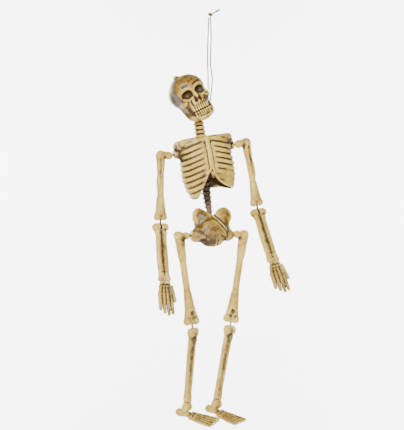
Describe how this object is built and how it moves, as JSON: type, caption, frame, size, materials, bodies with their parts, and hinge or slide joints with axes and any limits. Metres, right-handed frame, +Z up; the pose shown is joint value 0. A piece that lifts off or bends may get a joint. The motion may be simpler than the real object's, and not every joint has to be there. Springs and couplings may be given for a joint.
{
  "type": "hanging skeleton model",
  "caption": "Hanging model of a human skeleton in moulded bones, jointed by metal eye pegs and cross pins, with a doubled twine looped round the neck.",
  "frame": {"origin": "the hang point, where the two strands of twine meet under the knot", "axes": "+Z up along the hanging body, -Y the way that the model faces in front of a viewer, +X to that viewer's right"},
  "size_m": [0.1521, 0.0767, 0.4704],
  "materials": {
    "bone": "moulded ivory plastic with a brown wash rubbed into its recesses, satin",
    "dark_bone": "moulded plastic under a heavy dark brown wash",
    "hand_foot_bone": "moulded ivory plastic under a bronze-brown wash",
    "steel": "blackened steel, satin",
    "twine": "twisted natural jute fibre"
  },
  "bodies": {
    "torso": {"ribcage": "bone", "neck_column": "bone", "lumbar_spine": "dark_bone", "twine_left_strand": "twine", "twine_right_strand": "twine", "twine_knot": "twine"},
    "neck_eye": {"neck_eye_peg": "steel"},
    "skull": {"skull": "bone", "skull_pin": "steel"},
    "waist_eye": {"waist_eye_peg": "steel"},
    "pelvis": {"pelvis": "bone", "waist_pin": "steel"},
    "left_shoulder_eye": {"left_shoulder_eye_peg": "steel"},
    "left_humerus": {"left_humerus": "bone", "left_shoulder_pin": "steel"},
    "left_elbow_eye": {"left_elbow_eye_peg": "steel"},
    "left_forearm": {"left_forearm": "bone", "left_elbow_pin": "steel", "left_wrist_pin": "steel"},
    "left_hand": {"left_hand": "hand_foot_bone"},
    "left_hip_eye": {"left_hip_eye_peg": "steel"},
    "left_femur": {"left_femur": "bone", "left_hip_pin": "steel"},
    "left_knee_eye": {"left_knee_eye_peg": "steel"},
    "left_shin": {"left_shin": "bone", "left_knee_pin": "steel", "left_ankle_pin": "steel"},
    "left_foot": {"left_foot": "hand_foot_bone"},
    "right_shoulder_eye": {"right_shoulder_eye_peg": "steel"},
    "right_humerus": {"right_humerus": "bone", "right_shoulder_pin": "steel"},
    "right_elbow_eye": {"right_elbow_eye_peg": "steel"},
    "right_forearm": {"right_forearm": "bone", "right_elbow_pin": "steel", "right_wrist_pin": "steel"},
    "right_hand": {"right_hand": "hand_foot_bone"},
    "right_hip_eye": {"right_hip_eye_peg": "steel"},
    "right_femur": {"right_femur": "bone", "right_hip_pin": "steel"},
    "right_knee_eye": {"right_knee_eye_peg": "steel"},
    "right_shin": {"right_shin": "bone", "right_knee_pin": "steel", "right_ankle_pin": "steel"},
    "right_foot": {"right_foot": "hand_foot_bone"}
  },
  "joints": [
    {"name": "neck_turn", "type": "hinge", "parent": "torso", "child": "neck_eye", "pos_m": [-0.01438, 0, -0.10234], "axis": [-0.1478, 0, 0.989], "range_deg": [-12, 8]},
    {"name": "skull_tilt", "type": "hinge", "parent": "neck_eye", "child": "skull", "pos_m": [-0.01438, 0, -0.10234], "axis": [-0.1887, 0.9816, -0.0282], "range_deg": [-18, 2]},
    {"name": "waist_turn", "type": "hinge", "parent": "torso", "child": "waist_eye", "pos_m": [0.00091, 0.01063, -0.22392], "axis": [-0.1478, 0, 0.989], "range_deg": [-25, 25]},
    {"name": "waist_sway", "type": "hinge", "parent": "waist_eye", "child": "pelvis", "pos_m": [0.00091, 0.01063, -0.22392], "axis": [-0.3056, 0.9511, -0.0457], "range_deg": [-12, 7]},
    {"name": "left_shoulder_swing", "type": "hinge", "parent": "torso", "child": "left_shoulder_eye", "pos_m": [-0.04567, -0.01448, -0.15393], "axis": [-0.9553, -0.2588, -0.1428], "range_deg": [-40, 95]},
    {"name": "left_shoulder_spread", "type": "hinge", "parent": "left_shoulder_eye", "child": "left_humerus", "pos_m": [-0.04567, -0.01448, -0.15393], "axis": [-0.256, 0.9659, -0.0383], "range_deg": [-2, 60]},
    {"name": "left_elbow_turn", "type": "hinge", "parent": "left_humerus", "child": "left_elbow_eye", "pos_m": [-0.05494, -0.02011, -0.23414], "axis": [0.0035, 0.0405, 0.9992], "range_deg": [-60, 60]},
    {"name": "left_elbow_bend", "type": "hinge", "parent": "left_elbow_eye", "child": "left_forearm", "pos_m": [-0.05494, -0.02011, -0.23414], "axis": [-0.9465, -0.3224, 0.0163], "range_deg": [-15, 75]},
    {"name": "left_wrist_bend", "type": "hinge", "parent": "left_forearm", "child": "left_hand", "pos_m": [-0.05012, -0.03714, -0.29147], "axis": [-0.9465, -0.3224, 0.0163], "range_deg": [-20, 20]},
    {"name": "left_hip_swing", "type": "hinge", "parent": "pelvis", "child": "left_hip_eye", "pos_m": [-0.02624, -0.00116, -0.24393], "axis": [-0.9513, -0.307, -0.0277], "range_deg": [-20, 70]},
    {"name": "left_hip_spread", "type": "hinge", "parent": "left_hip_eye", "child": "left_femur", "pos_m": [-0.02624, -0.00116, -0.24393], "axis": [-0.304, 0.9493, -0.0805], "range_deg": [-0.5, 30]},
    {"name": "left_knee_turn", "type": "hinge", "parent": "left_femur", "child": "left_knee_eye", "pos_m": [-0.01845, -0.00776, -0.35116], "axis": [-0.1453, 0.0373, 0.9887], "range_deg": [-30, 6]},
    {"name": "left_knee_bend", "type": "hinge", "parent": "left_knee_eye", "child": "left_shin", "pos_m": [-0.01845, -0.00776, -0.35116], "axis": [0.4963, 0.8672, 0.0402], "range_deg": [-3, 75]},
    {"name": "left_ankle_bend", "type": "hinge", "parent": "left_shin", "child": "left_foot", "pos_m": [-0.02548, 0.00023, -0.43701], "axis": [0.4963, 0.8672, 0.0402], "range_deg": [-5, 20]},
    {"name": "right_shoulder_swing", "type": "hinge", "parent": "torso", "child": "right_shoulder_eye", "pos_m": [0.03237, 0.00675, -0.14025], "axis": [-0.9553, -0.2588, -0.1428], "range_deg": [-40, 95]},
    {"name": "right_shoulder_spread", "type": "hinge", "parent": "right_shoulder_eye", "child": "right_humerus", "pos_m": [0.03237, 0.00675, -0.14025], "axis": [0.256, -0.9659, 0.0383], "range_deg": [-6, 55]},
    {"name": "right_elbow_turn", "type": "hinge", "parent": "right_humerus", "child": "right_elbow_eye", "pos_m": [0.05511, 0.0097, -0.21787], "axis": [-0.1728, -0.0068, 0.9849], "range_deg": [-60, 60]},
    {"name": "right_elbow_bend", "type": "hinge", "parent": "right_elbow_eye", "child": "right_forearm", "pos_m": [0.05511, 0.0097, -0.21787], "axis": [-0.9511, -0.2587, -0.1686], "range_deg": [-25, 65]},
    {"name": "right_wrist_bend", "type": "hinge", "parent": "right_forearm", "child": "right_hand", "pos_m": [0.07099, -0.01443, -0.27046], "axis": [-0.9511, -0.2587, -0.1686], "range_deg": [-20, 20]},
    {"name": "right_hip_swing", "type": "hinge", "parent": "pelvis", "child": "right_hip_eye", "pos_m": [0.03084, 0.01726, -0.24227], "axis": [-0.9513, -0.307, -0.0277], "range_deg": [-20, 70]},
    {"name": "right_hip_spread", "type": "hinge", "parent": "right_hip_eye", "child": "right_femur", "pos_m": [0.03084, 0.01726, -0.24227], "axis": [0.3068, -0.9517, 0.0108], "range_deg": [-0.5, 30]},
    {"name": "right_knee_turn", "type": "hinge", "parent": "right_femur", "child": "right_knee_eye", "pos_m": [0.02298, 0.01351, -0.34963], "axis": [0.1458, 0.0582, 0.9876], "range_deg": [-6, 40]},
    {"name": "right_knee_bend", "type": "hinge", "parent": "right_knee_eye", "child": "right_shin", "pos_m": [0.02298, 0.01351, -0.34963], "axis": [0.5944, 0.7928, -0.1345], "range_deg": [-2, 80]},
    {"name": "right_ankle_bend", "type": "hinge", "parent": "right_shin", "child": "right_foot", "pos_m": [0.00799, 0.01031, -0.43476], "axis": [0.5944, 0.7928, -0.1345], "range_deg": [-10, 20]}
  ]
}
